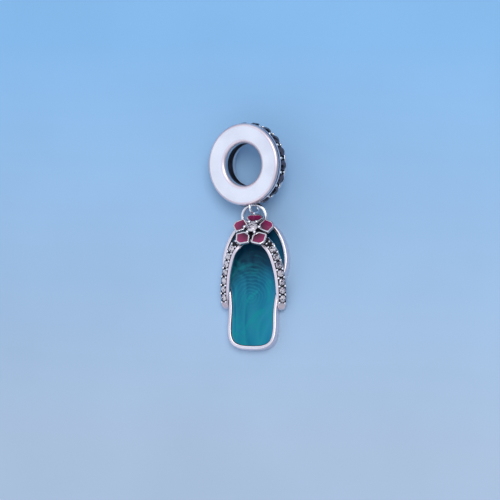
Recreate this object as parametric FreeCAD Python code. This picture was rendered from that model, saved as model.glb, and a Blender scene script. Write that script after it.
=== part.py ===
import FreeCAD, Part
import math
import os

# Dangle charm, in millimetres: a flip-flop pendant that hangs on a spacer ring, both lying face up.
# While modelling, the heel of the sole is at Y 0, the toe points to +Y and the floor is Z 0.
# The last step moves everything so that the origin is the bottom centre of the bounding box.

# Sole
SOLE_HEIGHT = 1.2
SOLE_LENGTH = 15.1
TOE_HALF_WIDTH = 3.81
TOE_CENTRE_Y = 9.97
SOLE_DRAFT = 0.07
RIM_WIDTH = 0.38
TRAY_FLOOR = 0.55
ENAMEL_GAP = 0.02
ENAMEL_BELOW_RIM = 0.12
OUTLINE_SAMPLES = 48
HEEL_SIDE_POINTS = [(1.35, 0.1), (2.35, 0.62), (2.79, 1.7), (2.82, 3.7), (2.92, 5.7), (3.38, 7.9)]

# Loop under the flower, which carries the jump ring
LOOP_CENTRE = (0.0, 13.9, 1.5)
LOOP_RADIUS = 0.55
LOOP_WIRE_RADIUS = 0.17
LOOP_BOSS_RADIUS = 0.95

# Strap arms, as the middle line of the stone-set face from the flower to the tip of the right arm
STRAP_LINE = [
    (0.0, 13.1, 2.4), (1.25, 12.55, 2.62), (2.44, 11.29, 2.62), (3.04, 9.76, 2.2), (3.3, 8.6, 1.88),
    (3.48, 6.76, 1.42), (3.46, 5.68, 1.15), (3.25, 4.5, 0.85),
]
STRAP_WIDTH = 0.95
STRAP_THICKNESS = 0.75
STRAP_HUB_THICKNESS = 0.42
STRAP_LEAN_DEG = 30.0
STRAP_LIP = 0.35
STRAP_LIP_DROP_SHARE = 0.7
STRAP_LIP_FADE_START = 8.2
STRAP_LIP_FADE_END = 9.4
STRAP_LIP_LEAST = 0.05
STRAP_CORNER = 0.1
STRAP_STATIONS = 12
STRAP_TIP_SCALE = 0.6
STRAP_CHANNEL_WIDTH = 0.66
STRAP_CHANNEL_DEPTH = 0.16
STRAP_CHANNEL_TOP = 0.4
STRAP_CHANNEL_CORNER = 0.02
STRAP_STONES = 7
STRAP_STONE_RADIUS = 0.38
STRAP_STONE_FIRST = 3.12
STRAP_STONE_PITCH = 0.97
STRAP_BEAD_RADIUS = 0.13
STRAP_BEAD_OFFSET = 0.33
STRAP_BEAD_LIFT = 0.026

# Flower
FLOWER_CENTRE = (0.05, 13.66, 3.15)
FLOWER_LEAN_DEG = 30.0
PETALS = 5
PETAL_SLANT_DEG = 4.0
PETAL_SIDE = [(0.84, 0.4), (1.65, 1.05)]
PETAL_END = (2.45, 0.32)
TOP_PETAL_END = (2.15, 0.62)
PETAL_CORNER_RADIUS = 0.2
PETAL_DEPTH = 0.42
PETAL_WALL = 0.17
PETAL_WELL = 0.22
HUB_RADIUS = 0.92
HUB_TOP = -0.3
HUB_BOTTOM = -1.0
CENTRE_STONE_RADIUS = 0.65
CENTRE_STONE_GIRDLE = 0.2
CENTRE_PRONGS = 6
PRONG_CIRCLE_RADIUS = 0.86
PRONG_BEAD_RADIUS = 0.18
PRONG_POST_RADIUS = 0.1
PRONG_FOOT_DEPTH = 0.1

# Spacer ring, in its own axes: +Z out of the front face, front face at Z 0, +X to the right
RING_FRONT_RADIUS = 4.69
RING_REAR_RADIUS = 4.5
RING_WIDTH = 2.6
BORE_RADIUS = 2.42
LIP_RADIUS = 0.41
FRONT_EDGE_RADIUS = 0.35
REAR_EDGE_RADIUS = 0.3
CHANNEL_START = 0.85
CHANNEL_END = 2.05
CHANNEL_FLOOR_RADIUS = 4.3
RING_STONES = 18
RING_STONE_RADIUS = 0.58
RING_STONE_GIRDLE = 4.62
RING_STONE_FIRST_DEG = -64.0
RING_BEAD_RADIUS = 0.19
RING_BEAD_CIRCLE = 4.58
RING_BEAD_OFFSET = 0.38
RING_BEAD_POST_RADIUS = 0.12
RING_BEAD_FOOT_DEPTH = 0.1
RING_LEAN_DEG = 19.8
RING_LEAN_TOWARD_DEG = 206.4
RING_FRONT_X = -1.3
RING_FRONT_Y = 20.86

# Wire eye soldered across the stone channel
EYE_ANGLE_DEG = -84.0
EYE_FRONT = 0.55
EYE_REAR = 2.25
EYE_REACH = 5.5
EYE_WIRE_RADIUS = 0.15
EYE_CORNER = 0.35
EYE_FOOT_DEPTH = 0.3

# Jump ring
JUMP_CENTRE = (-0.15, 15.19, 1.67)
JUMP_RADIUS = 1.375
JUMP_WIRE_RADIUS = 0.225
JUMP_LEAN_DEG = 7.5

# Round brilliant cut, as shares of the girdle radius
CUT_SIDES = 16
TABLE_SHARE = 0.56
CROWN_SHARE = 0.3
GIRDLE_SHARE = 0.06
PAVILION_SHARE = 0.82
SEAT_CLEARANCE = 0.02


def vector(point):
    return FreeCAD.Vector(*point)


def polar(radius, degrees, height=0.0):
    angle = math.radians(degrees)
    return FreeCAD.Vector(radius * math.cos(angle), radius * math.sin(angle), height)


def toe_point(degrees):
    # The toe half of the sole is half an ellipse.
    angle = math.radians(degrees)
    reach = SOLE_LENGTH - TOE_CENTRE_Y
    return (TOE_HALF_WIDTH * math.cos(angle), TOE_CENTRE_Y + reach * math.sin(angle))


def sole_points():
    right = HEEL_SIDE_POINTS + [toe_point(degrees) for degrees in (0.0, 22.5, 45.0, 67.5)]
    left = [(-x, y) for x, y in reversed(right)]
    return [(0.0, 0.0)] + right + [toe_point(90.0)] + left


def closed_spline(points):
    curve = Part.BSplineCurve()
    curve.interpolate(Points=points, PeriodicFlag=True)
    return curve


def sole_outline(inset, height):
    # The outer outline of the sole, moved inwards and up.
    master = closed_spline([FreeCAD.Vector(x, y, 0.0) for x, y in sole_points()])
    span = master.LastParameter - master.FirstParameter
    moved = []
    for index in range(OUTLINE_SAMPLES):
        parameter = master.FirstParameter + span * index / OUTLINE_SAMPLES
        place = master.value(parameter)
        along = FreeCAD.Vector(*master.tangent(parameter)[0])
        inwards = FreeCAD.Vector(-along.y, along.x, 0.0).normalize()
        moved.append(place + inwards * inset + FreeCAD.Vector(0.0, 0.0, height))
    return Part.Wire([closed_spline(moved).toShape()])


def prism(wire, height):
    return Part.Face(wire).extrude(FreeCAD.Vector(0.0, 0.0, height))


def sole_tray():
    body = Part.makeLoft([sole_outline(-SOLE_DRAFT, 0.0), sole_outline(0.0, SOLE_HEIGHT)], True, True)
    well = prism(sole_outline(RIM_WIDTH, TRAY_FLOOR), SOLE_HEIGHT)
    boss_place = FreeCAD.Vector(LOOP_CENTRE[0], LOOP_CENTRE[1], TRAY_FLOOR / 2.0)
    boss = Part.makeCylinder(LOOP_BOSS_RADIUS, SOLE_HEIGHT - TRAY_FLOOR / 2.0, boss_place)
    boss = boss.common(prism(sole_outline(RIM_WIDTH / 2.0, 0.0), SOLE_HEIGHT))
    return body.cut(well).fuse(boss)


def pendant_loop():
    return Part.makeTorus(LOOP_RADIUS, LOOP_WIRE_RADIUS, vector(LOOP_CENTRE), FreeCAD.Vector(1.0, 0.0, 0.0))


class StrapLine:
    """Middle line of the stone-set face of one arm, with the directions across it."""

    def __init__(self, side):
        self.side = side
        self.curve = Part.BSplineCurve()
        self.curve.interpolate([FreeCAD.Vector(side * x, y, z) for x, y, z in STRAP_LINE])
        self.length = self.curve.length()

    def lean(self, distance):
        return math.radians(STRAP_LEAN_DEG) * min(1.0, distance / STRAP_STONE_FIRST)

    def axes(self, distance):
        parameter = self.curve.parameterAtDistance(distance, self.curve.FirstParameter)
        place = self.curve.value(parameter)
        along = FreeCAD.Vector(*self.curve.tangent(parameter)[0])
        lean = self.lean(distance)
        up = FreeCAD.Vector(self.side * math.sin(lean), 0.0, math.cos(lean))
        up = (up - along * up.dot(along)).normalize()
        across = along.cross(up).normalize()
        return place, across, up

    def rotation(self, distance):
        place, across, up = self.axes(distance)
        return place, FreeCAD.Rotation(across, up.cross(across), up, "ZXY")


def strap_thickness(distance):
    share = min(1.0, distance / STRAP_STONE_FIRST)
    return STRAP_HUB_THICKNESS + (STRAP_THICKNESS - STRAP_HUB_THICKNESS) * share


def strap_lip(distance):
    # Width of the level lip beside the stones, which fades out near the tip.
    faded = (distance - STRAP_LIP_FADE_START) / (STRAP_LIP_FADE_END - STRAP_LIP_FADE_START)
    return STRAP_LIP_LEAST + (STRAP_LIP - STRAP_LIP_LEAST) * (1.0 - min(1.0, max(0.0, faded)))


def section_wire(line, distance, outline):
    # An outline of (inwards, up) pairs, square to the middle line.
    place, across, up = line.axes(distance)
    points = [place + across * (line.side * inwards) + up * height for inwards, height in outline]
    return Part.makePolygon(points + points[:1])


def arm_section(line, distance, scale, gap):
    # A box section with cut corners, and the lip on its inner side.
    lean = line.lean(distance)
    half = STRAP_WIDTH * scale / 2.0 + gap
    depth = strap_thickness(distance) * scale
    lip = strap_lip(distance) * scale
    drop = STRAP_LIP_DROP_SHARE * depth
    lip_edge = (half + lip * math.cos(lean), gap - lip * math.sin(lean))
    lip_foot = (lip_edge[0] - drop * math.sin(lean), lip_edge[1] - drop * math.cos(lean) - gap)
    bottom = -depth - gap
    return section_wire(line, distance, [
        (-half + STRAP_CORNER, gap), (half, gap), lip_edge, lip_foot, (half - STRAP_CORNER, bottom),
        (-half + STRAP_CORNER, bottom), (-half, bottom + STRAP_CORNER), (-half, gap - STRAP_CORNER),
    ])


def strap_loft(line, tip_scale, gap):
    sections = []
    for index in range(STRAP_STATIONS):
        distance = line.length * index / (STRAP_STATIONS - 1)
        scale = tip_scale if index == STRAP_STATIONS - 1 else 1.0
        sections.append(arm_section(line, distance, scale, gap))
    return Part.makeLoft(sections, True, False)


def channel_section(line, distance):
    half = STRAP_CHANNEL_WIDTH / 2.0
    cut = STRAP_CHANNEL_CORNER
    floor = -STRAP_CHANNEL_DEPTH
    return section_wire(line, distance, [
        (-half, STRAP_CHANNEL_TOP), (half, STRAP_CHANNEL_TOP), (half, floor + cut), (half - cut, floor),
        (cut - half, floor), (-half, floor + cut),
    ])


def strap_channel(line):
    start = STRAP_STONE_FIRST - STRAP_STONE_PITCH / 2.0
    end = STRAP_STONE_FIRST + STRAP_STONE_PITCH * (STRAP_STONES - 0.5)
    steps = STRAP_STATIONS - 2
    sections = []
    for index in range(steps):
        distance = start + (end - start) * index / (steps - 1)
        sections.append(channel_section(line, distance))
    return Part.makeLoft(sections, True, False)


def brilliant(radius):
    # Table, sixteen-sided girdle and pavilion; the girdle plane is Z 0.
    table_height = radius * (CROWN_SHARE + GIRDLE_SHARE / 2.0)
    girdle_half = radius * GIRDLE_SHARE / 2.0
    step = 360.0 / CUT_SIDES
    table = [polar(radius * TABLE_SHARE, 2 * step * i, table_height) for i in range(CUT_SIDES // 2)]
    upper = [polar(radius, step * i, girdle_half) for i in range(CUT_SIDES)]
    lower = [polar(radius, step * i, -girdle_half) for i in range(CUT_SIDES)]
    culet = FreeCAD.Vector(0.0, 0.0, -radius * PAVILION_SHARE)
    outlines = [table]
    for i in range(CUT_SIDES // 2):
        corner = table[i]
        following = table[(i + 1) % len(table)]
        before = upper[(2 * i - 1) % CUT_SIDES]
        below = upper[2 * i]
        after = upper[(2 * i + 1) % CUT_SIDES]
        outlines.append([corner, before, below])
        outlines.append([corner, below, after])
        outlines.append([corner, after, following])
    for i in range(CUT_SIDES):
        j = (i + 1) % CUT_SIDES
        outlines.append([upper[i], lower[i], lower[j], upper[j]])
        outlines.append([lower[i], culet, lower[j]])
    faces = [Part.Face(Part.makePolygon(outline + outline[:1])) for outline in outlines]
    stone = Part.Solid(Part.Shell(faces))
    if stone.Volume < 0.0:
        stone.reverse()
    return stone


def stone_seat(radius):
    # The cone that the pavilion sits in, with a straight wall above it.
    wide = radius + SEAT_CLEARANCE
    depth = radius * PAVILION_SHARE + 2.0 * SEAT_CLEARANCE
    cone = Part.makeCone(0.0, wide, depth, FreeCAD.Vector(0.0, 0.0, -depth))
    wall = Part.makeCylinder(wide, radius, FreeCAD.Vector(0.0, 0.0, -SEAT_CLEARANCE))
    return cone.fuse(wall)


def placed(shape, place, rotation):
    copy = shape.copy()
    copy.Placement = FreeCAD.Placement(place, rotation)
    return copy


def strap_stone_places(line):
    distances = [STRAP_STONE_FIRST + STRAP_STONE_PITCH * i for i in range(STRAP_STONES)]
    return [line.rotation(distance) for distance in distances]


def strap_beads(line):
    # Two silver beads in each gap between two stones.
    beads = []
    for i in range(STRAP_STONES - 1):
        place, across, up = line.axes(STRAP_STONE_FIRST + STRAP_STONE_PITCH * (i + 0.5))
        for side in (-1.0, 1.0):
            centre = place + across * (side * STRAP_BEAD_OFFSET) + up * STRAP_BEAD_LIFT
            beads.append(Part.makeSphere(STRAP_BEAD_RADIUS, centre))
    return beads


def rounded_polygon(corners, radius):
    # A closed wire of straight sides and round corners in the XY plane.
    points = [FreeCAD.Vector(x, y, 0.0) for x, y in corners]
    count = len(points)
    arcs = []
    for i in range(count):
        corner = points[i]
        to_before = (points[i - 1] - corner).normalize()
        to_after = (points[(i + 1) % count] - corner).normalize()
        half_angle = to_before.getAngle(to_after) / 2.0
        middle = (to_before + to_after).normalize()
        run = radius / math.tan(half_angle)
        reach = radius / math.sin(half_angle) - radius
        arcs.append((corner + to_before * run, corner + middle * reach, corner + to_after * run))
    edges = []
    for i in range(count):
        start, middle, end = arcs[i]
        edges.append(Part.Arc(start, middle, end).toShape())
        edges.append(Part.LineSegment(end, arcs[(i + 1) % count][0]).toShape())
    return Part.Wire(edges)


def flower_rotation():
    return FreeCAD.Rotation(FreeCAD.Vector(1.0, 0.0, 0.0), -FLOWER_LEAN_DEG)


def petal_rotation(index):
    turn = FreeCAD.Rotation(FreeCAD.Vector(0.0, 0.0, 1.0), 90.0 + 360.0 / PETALS * index)
    slant = FreeCAD.Rotation(FreeCAD.Vector(0.0, 1.0, 0.0), PETAL_SLANT_DEG)
    return flower_rotation().multiply(turn).multiply(slant)


def petal_outline(index):
    # Petal 0 points to the toe and stops short of the wire eye.
    right = PETAL_SIDE + [TOP_PETAL_END if index == 0 else PETAL_END]
    left = [(x, -y) for x, y in right]
    return rounded_polygon(left + right[::-1], PETAL_CORNER_RADIUS)


def petal_cup(index):
    outline = petal_outline(index)
    body = prism(outline, -PETAL_DEPTH)
    inner = outline.makeOffset2D(-PETAL_WALL)
    well = prism(inner, -PETAL_WELL)
    return body.cut(well)


def petal_pad(index):
    inner = petal_outline(index).makeOffset2D(-PETAL_WALL - ENAMEL_GAP)
    inner.translate(FreeCAD.Vector(0.0, 0.0, -PETAL_WELL + ENAMEL_GAP))
    return prism(inner, PETAL_WELL - 3.0 * ENAMEL_GAP)


def flower_hub():
    # The hub carries the petals, the centre stone and its prongs.
    hub = Part.makeCylinder(HUB_RADIUS, HUB_TOP - HUB_BOTTOM, FreeCAD.Vector(0.0, 0.0, HUB_BOTTOM))
    parts = []
    for i in range(CENTRE_PRONGS):
        foot = polar(PRONG_CIRCLE_RADIUS, 360.0 / CENTRE_PRONGS * i, HUB_TOP - PRONG_FOOT_DEPTH)
        head = polar(PRONG_CIRCLE_RADIUS, 360.0 / CENTRE_PRONGS * i, CENTRE_STONE_GIRDLE)
        parts.append(Part.makeCylinder(PRONG_POST_RADIUS, (head - foot).Length, foot))
        parts.append(Part.makeSphere(PRONG_BEAD_RADIUS, head))
    return placed(hub.fuse(parts), vector(FLOWER_CENTRE), flower_rotation())


def centre_stone_place():
    up = flower_rotation().multVec(FreeCAD.Vector(0.0, 0.0, CENTRE_STONE_GIRDLE))
    return vector(FLOWER_CENTRE) + up, flower_rotation()


def ring_axes():
    lean = math.radians(RING_LEAN_DEG)
    front = polar(math.sin(lean), RING_LEAN_TOWARD_DEG, math.cos(lean))
    right = FreeCAD.Vector(0.0, 1.0, 0.0).cross(front).normalize()
    return right, front.cross(right), front


def ring_placement():
    # The ring leans on the lowest point of its rounded rear edge, which touches the floor.
    right, up, front = ring_axes()
    lean = math.radians(RING_LEAN_DEG)
    drop = (RING_WIDTH - REAR_EDGE_RADIUS) * math.cos(lean)
    drop += (RING_REAR_RADIUS - REAR_EDGE_RADIUS) * math.sin(lean) + REAR_EDGE_RADIUS
    return FreeCAD.Placement(
        FreeCAD.Vector(RING_FRONT_X, RING_FRONT_Y, drop), FreeCAD.Rotation(right, up, front, "ZXY")
    )


def corner_arc(centre_r, centre_z, radius, start_deg, end_deg):
    points = []
    for degrees in (start_deg, (start_deg + end_deg) / 2.0, end_deg):
        offset = polar(radius, degrees)
        points.append(FreeCAD.Vector(centre_r + offset.x, 0.0, centre_z + offset.y))
    return Part.Arc(*points).toShape()


def ring_profile():
    # Half section of the ring, from the front lip round the rim to the rear lip.
    rear = -RING_WIDTH
    arcs = [
        corner_arc(BORE_RADIUS + LIP_RADIUS, -LIP_RADIUS, LIP_RADIUS, 180.0, 90.0),
        corner_arc(RING_FRONT_RADIUS - FRONT_EDGE_RADIUS, -FRONT_EDGE_RADIUS, FRONT_EDGE_RADIUS, 90.0, 0.0),
        corner_arc(
            RING_REAR_RADIUS - REAR_EDGE_RADIUS, rear + REAR_EDGE_RADIUS, REAR_EDGE_RADIUS, 0.0, -90.0
        ),
        corner_arc(BORE_RADIUS + LIP_RADIUS, rear + LIP_RADIUS, LIP_RADIUS, -90.0, -180.0),
    ]
    channel = [
        FreeCAD.Vector(RING_FRONT_RADIUS, 0.0, -CHANNEL_START),
        FreeCAD.Vector(CHANNEL_FLOOR_RADIUS, 0.0, -CHANNEL_START),
        FreeCAD.Vector(CHANNEL_FLOOR_RADIUS, 0.0, -CHANNEL_END),
        FreeCAD.Vector(RING_REAR_RADIUS, 0.0, -CHANNEL_END),
    ]
    edges = [arcs[0]]
    edges.append(Part.LineSegment(arcs[0].lastVertex().Point, arcs[1].firstVertex().Point).toShape())
    edges.append(arcs[1])
    rim = [arcs[1].lastVertex().Point] + channel + [arcs[2].firstVertex().Point]
    for start, end in zip(rim, rim[1:]):
        edges.append(Part.LineSegment(start, end).toShape())
    edges.append(arcs[2])
    edges.append(Part.LineSegment(arcs[2].lastVertex().Point, arcs[3].firstVertex().Point).toShape())
    edges.append(arcs[3])
    edges.append(Part.LineSegment(arcs[3].lastVertex().Point, arcs[0].firstVertex().Point).toShape())
    return Part.Wire(edges)


def ring_stone_angles():
    # The stone that would sit where the eye is soldered is left out.
    step = 360.0 / RING_STONES
    return [RING_STONE_FIRST_DEG + step * i for i in range(RING_STONES - 1)]


def ring_stone_rotation(degrees):
    outward = polar(1.0, degrees)
    along = FreeCAD.Vector(0.0, 0.0, 1.0)
    return FreeCAD.Rotation(along, outward.cross(along), outward, "ZXY")


def ring_stone_place(degrees):
    middle = -(CHANNEL_START + CHANNEL_END) / 2.0
    return polar(RING_STONE_GIRDLE, degrees, middle), ring_stone_rotation(degrees)


def ring_beads():
    # Pairs of beads between neighbouring stones, none beside the eye.
    middle = -(CHANNEL_START + CHANNEL_END) / 2.0
    beads = []
    for degrees in ring_stone_angles()[:-1]:
        between = degrees + 180.0 / RING_STONES
        for side in (-1.0, 1.0):
            height = middle + side * RING_BEAD_OFFSET
            foot = polar(CHANNEL_FLOOR_RADIUS - RING_BEAD_FOOT_DEPTH, between, height)
            centre = polar(RING_BEAD_CIRCLE, between, height)
            post = Part.makeCylinder(RING_BEAD_POST_RADIUS, (centre - foot).Length, foot, centre - foot)
            beads.append(post.fuse(Part.makeSphere(RING_BEAD_RADIUS, centre)))
    return beads


def ring_eye():
    # A staple of round wire that bridges the channel, with rounded corners.
    foot = CHANNEL_FLOOR_RADIUS - EYE_FOOT_DEPTH
    bend = EYE_CORNER * (1.0 - math.sqrt(0.5))
    points = [
        (foot, -EYE_FRONT), (EYE_REACH - EYE_CORNER, -EYE_FRONT), (EYE_REACH - bend, -EYE_FRONT - bend),
        (EYE_REACH, -EYE_FRONT - EYE_CORNER), (EYE_REACH, -EYE_REAR + EYE_CORNER),
        (EYE_REACH - bend, -EYE_REAR + bend), (EYE_REACH - EYE_CORNER, -EYE_REAR), (foot, -EYE_REAR),
    ]
    route = [FreeCAD.Vector(r, 0.0, z) for r, z in points]
    edges = [
        Part.LineSegment(route[0], route[1]).toShape(),
        Part.Arc(route[1], route[2], route[3]).toShape(),
        Part.LineSegment(route[3], route[4]).toShape(),
        Part.Arc(route[4], route[5], route[6]).toShape(),
        Part.LineSegment(route[6], route[7]).toShape(),
    ]
    section = Part.Wire([Part.makeCircle(EYE_WIRE_RADIUS, route[0], FreeCAD.Vector(1.0, 0.0, 0.0))])
    eye = Part.Wire(edges).makePipeShell([section], True, False)
    eye.rotate(FreeCAD.Vector(), FreeCAD.Vector(0.0, 0.0, 1.0), EYE_ANGLE_DEG)
    return eye


def bail_ring():
    body = Part.Face(ring_profile()).revolve(FreeCAD.Vector(), FreeCAD.Vector(0.0, 0.0, 1.0), 360.0)
    seat = stone_seat(RING_STONE_RADIUS)
    seats = [placed(seat, *ring_stone_place(degrees)) for degrees in ring_stone_angles()]
    ring = body.cut(seats).fuse(ring_beads() + [ring_eye()])
    ring.Placement = ring_placement()
    return ring


def rim_stones():
    stone = brilliant(RING_STONE_RADIUS)
    stones = []
    for degrees in ring_stone_angles():
        copy = placed(stone, *ring_stone_place(degrees))
        copy.Placement = ring_placement().multiply(copy.Placement)
        stones.append(copy)
    return stones


def jump_ring():
    ring = Part.makeTorus(JUMP_RADIUS, JUMP_WIRE_RADIUS)
    turn = FreeCAD.Rotation(FreeCAD.Vector(1.0, 0.0, 0.0), JUMP_LEAN_DEG)
    return placed(ring, vector(JUMP_CENTRE), turn)


def pendant_frame(lines):
    parts = [pendant_loop(), flower_hub()]
    parts += [placed(petal_cup(i), vector(FLOWER_CENTRE), petal_rotation(i)) for i in range(PETALS)]
    cuts = [placed(stone_seat(CENTRE_STONE_RADIUS), *centre_stone_place())]
    beads = []
    seat = stone_seat(STRAP_STONE_RADIUS)
    for line in lines:
        parts.append(strap_loft(line, STRAP_TIP_SCALE, 0.0).cut(strap_channel(line)))
        beads += strap_beads(line)
        cuts += [placed(seat, place, rotation) for place, rotation in strap_stone_places(line)]
    frame = sole_tray().fuse(parts).cut(cuts).fuse(beads)
    return frame.removeSplitter()


def sole_enamel(lines):
    top = SOLE_HEIGHT - ENAMEL_BELOW_RIM
    floor = TRAY_FLOOR + ENAMEL_GAP
    body = prism(sole_outline(RIM_WIDTH + ENAMEL_GAP, floor), top - floor)
    boss_place = FreeCAD.Vector(LOOP_CENTRE[0], LOOP_CENTRE[1], 0.0)
    boss = Part.makeCylinder(LOOP_BOSS_RADIUS + ENAMEL_GAP, 2.0 * SOLE_HEIGHT, boss_place)
    body = body.cut(boss)
    for line in lines:
        body = body.cut(strap_loft(line, 1.0, ENAMEL_GAP))
    return max(body.Solids, key=lambda solid: solid.Volume)


def all_pieces():
    lines = [StrapLine(-1.0), StrapLine(1.0)]
    pieces = {"bail_ring": bail_ring(), "jump_ring": jump_ring(), "pendant_frame": pendant_frame(lines)}
    pieces["sole_enamel"] = sole_enamel(lines)
    for i in range(PETALS):
        pieces["petal_enamel_%d" % (i + 1)] = placed(petal_pad(i), vector(FLOWER_CENTRE), petal_rotation(i))
    pieces["flower_stone"] = placed(brilliant(CENTRE_STONE_RADIUS), *centre_stone_place())
    for i, stone in enumerate(rim_stones()):
        pieces["rim_stone_%02d" % (i + 1)] = stone
    stone = brilliant(STRAP_STONE_RADIUS)
    for name, line in zip(("left", "right"), lines):
        for i, (place, rotation) in enumerate(strap_stone_places(line)):
            pieces["strap_stone_%s_%d" % (name, i + 1)] = placed(stone, place, rotation)
    return pieces


def move_to_origin(pieces):
    box = FreeCAD.BoundBox()
    for shape in pieces.values():
        box.add(shape.optimalBoundingBox(True))
    shift = FreeCAD.Vector(-box.Center.x, -box.Center.y, -box.ZMin)
    for shape in pieces.values():
        shape.Placement = FreeCAD.Placement(shift, FreeCAD.Rotation()).multiply(shape.Placement)
    return shift, box


def main():
    os.makedirs("parts", exist_ok=True)
    pieces = all_pieces()
    shift, box = move_to_origin(pieces)
    print("shift", tuple(shift), "size", box.XLength, box.YLength, box.ZLength)
    for name, shape in pieces.items():
        print(name, shape.ShapeType, len(shape.Solids), shape.isValid(), round(shape.Volume, 4))
        shape.exportStep("parts/%s.step" % name)


main()
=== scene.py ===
"""Dangle charm: a flip-flop pendant linked to a spacer ring, both lying face up on a pale floor."""
import logging
import math
from dataclasses import dataclass, field
from enum import Enum
from typing import Callable, Iterable, Sequence, Union

import bmesh
import bpy
import numpy
from bmesh.types import BMEdge, BMFace, BMVert
from bpy.types import Material
from mathutils import Matrix, Vector


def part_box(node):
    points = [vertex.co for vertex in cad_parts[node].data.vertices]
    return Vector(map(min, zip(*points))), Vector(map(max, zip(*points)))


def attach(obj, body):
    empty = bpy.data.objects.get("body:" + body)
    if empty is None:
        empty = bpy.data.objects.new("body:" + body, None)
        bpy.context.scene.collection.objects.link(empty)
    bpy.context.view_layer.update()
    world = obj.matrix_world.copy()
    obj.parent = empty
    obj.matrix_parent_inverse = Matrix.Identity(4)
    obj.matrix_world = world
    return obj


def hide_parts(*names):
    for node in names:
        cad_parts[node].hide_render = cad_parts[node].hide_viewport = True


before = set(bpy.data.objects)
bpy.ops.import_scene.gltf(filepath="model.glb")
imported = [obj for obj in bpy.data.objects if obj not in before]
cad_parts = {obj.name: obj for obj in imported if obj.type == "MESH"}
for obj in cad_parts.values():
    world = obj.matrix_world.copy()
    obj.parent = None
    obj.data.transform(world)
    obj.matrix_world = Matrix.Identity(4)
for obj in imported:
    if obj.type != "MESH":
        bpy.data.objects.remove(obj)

LOG = logging.getLogger("dangle_charm")
MM = 0.001
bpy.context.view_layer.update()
# Tones: polished silver; dark silver, which is blackening in the channels and painted shade elsewhere; and
# rougher silver tinted pink as a painted reflection.
POLISHED, DARK, SATIN_REFLECTION = 0, 1, 2

Socket = bpy.types.NodeSocket
Input = Union[Socket, float, Sequence[float]]
Tone = Union[int, Callable[[int], int]]
Flat = list[tuple[float, float]]
Triple = tuple[float, float, float]


class Slot(Enum):
    """Names of the record's material slots; each dressed piece is passed one, which is not used."""

    SILVER = "silver"
    TEAL = "teal_enamel"
    PINK = "pink_enamel"


# Curves and directions


def polar(radius: float, degrees: float, height: float = 0.0) -> Vector:
    """Return the point at a radius and an angle in the XY plane, at a height."""
    angle = math.radians(degrees)
    return Vector((radius * math.cos(angle), radius * math.sin(angle), height))


def circle(radius: float, sides: int) -> list[Vector]:
    """Return the corners of a round section."""
    return [polar(radius, 360.0 / sides * i) for i in range(sides)]


def upright(points: Iterable[tuple[float, float]]) -> list[Vector]:
    """Return points of the XZ plane, each given by its radius and its height."""
    return [Vector((radius, 0.0, height)) for radius, height in points]


def turned(degrees: float, axis: str) -> Matrix:
    """Return a turn about an axis."""
    return Matrix.Rotation(math.radians(degrees), 4, axis)


def axes_matrix(across: Vector, along: Vector, up: Vector, place: Vector) -> Matrix:
    """Return the matrix with three unit axes as its columns and a place as its origin."""
    return Matrix.Translation(place) @ Matrix((across, along, up)).transposed().to_4x4()


class SmoothLine:
    """A cubic line through a few points, with an even bend at each of them."""

    samples = 400

    def __init__(self, points: Sequence[Sequence[float]], closed: bool = False) -> None:
        """Fit the line.

        Args:
            points: The points that the line passes through, in order.
            closed: Whether the line returns to its first point.
        """
        knots = [tuple(Vector(point).to_3d()) for point in points]
        self.knots = numpy.array(knots + knots[:1] if closed else knots)
        self.chords = numpy.linalg.norm(numpy.diff(self.knots, axis=0), axis=1)
        self.marks = numpy.concatenate(([0.0], numpy.cumsum(self.chords)))
        self.slopes = self._slopes(closed)
        marks = numpy.linspace(0.0, self.marks[-1], self.samples)
        places = numpy.array([tuple(self.at_mark(mark)[0]) for mark in marks])
        runs = numpy.linalg.norm(numpy.diff(places, axis=0), axis=1)
        self.table = numpy.vstack((marks, numpy.concatenate(([0.0], numpy.cumsum(runs)))))
        self.length = float(self.table[1, -1])

    def _slopes(self, closed: bool) -> numpy.ndarray:
        """Return the slope at each knot; an open line has parabolic ends."""
        chords = self.chords
        steps = numpy.diff(self.knots, axis=0) / chords[:, None]
        count = len(steps) if closed else len(steps) + 1
        system, wanted = numpy.eye(count), numpy.zeros((count, 3))
        for i in range(count) if closed else range(1, count - 1):
            before, after = chords[i - 1], chords[i]
            system[i, [i - 1, i, (i + 1) % count]] = after, 2.0 * (before + after), before
            wanted[i] = 3.0 * (after * steps[i - 1] + before * steps[i])
        if closed:
            slopes = numpy.linalg.solve(system, wanted)
            return numpy.vstack((slopes, slopes[:1]))
        for end, inner in ((0, 1), (-1, -2)):
            share = chords[end] / (chords[end] + chords[inner])
            wanted[end] = steps[end] * (1.0 + share) - steps[inner] * share
        return numpy.linalg.solve(system, wanted)

    def at_mark(self, mark: float) -> tuple[Vector, Vector]:
        """Return the place and the direction at a mark.

        Args:
            mark: Distance along the chords between the knots.

        Returns:
            The point there and the unit vector along the line.
        """
        i = int(numpy.clip(numpy.searchsorted(self.marks, mark, side="right") - 1, 0, len(self.marks) - 2))
        span = self.marks[i + 1] - self.marks[i]
        t = (mark - self.marks[i]) / span
        start, end = self.knots[i], self.knots[i + 1]
        leave, arrive = self.slopes[i] * span, self.slopes[i + 1] * span
        place = (
            start * (2 * t**3 - 3 * t**2 + 1) + leave * (t**3 - 2 * t**2 + t)
            + end * (3 * t**2 - 2 * t**3) + arrive * (t**3 - t**2)
        )
        along = (
            (start - end) * (6 * t**2 - 6 * t) + leave * (3 * t**2 - 4 * t + 1) + arrive * (3 * t**2 - 2 * t)
        )
        return Vector(place), Vector(along).normalized()

    def at_distance(self, distance: float) -> tuple[Vector, Vector]:
        """Return the place and the direction at a distance along the line."""
        return self.at_mark(float(numpy.interp(distance, self.table[1], self.table[0])))


# Mesh work


def add_object(name: str, data: bpy.types.ID) -> bpy.types.Object:
    """Return a new object that is linked to the scene."""
    thing = bpy.data.objects.new(name, data)
    bpy.context.scene.collection.objects.link(thing)
    return thing


@dataclass
class Loop:
    """A closed ring of vertices and the edges between them."""

    verts: list[BMVert]
    edges: list[BMEdge]


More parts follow.
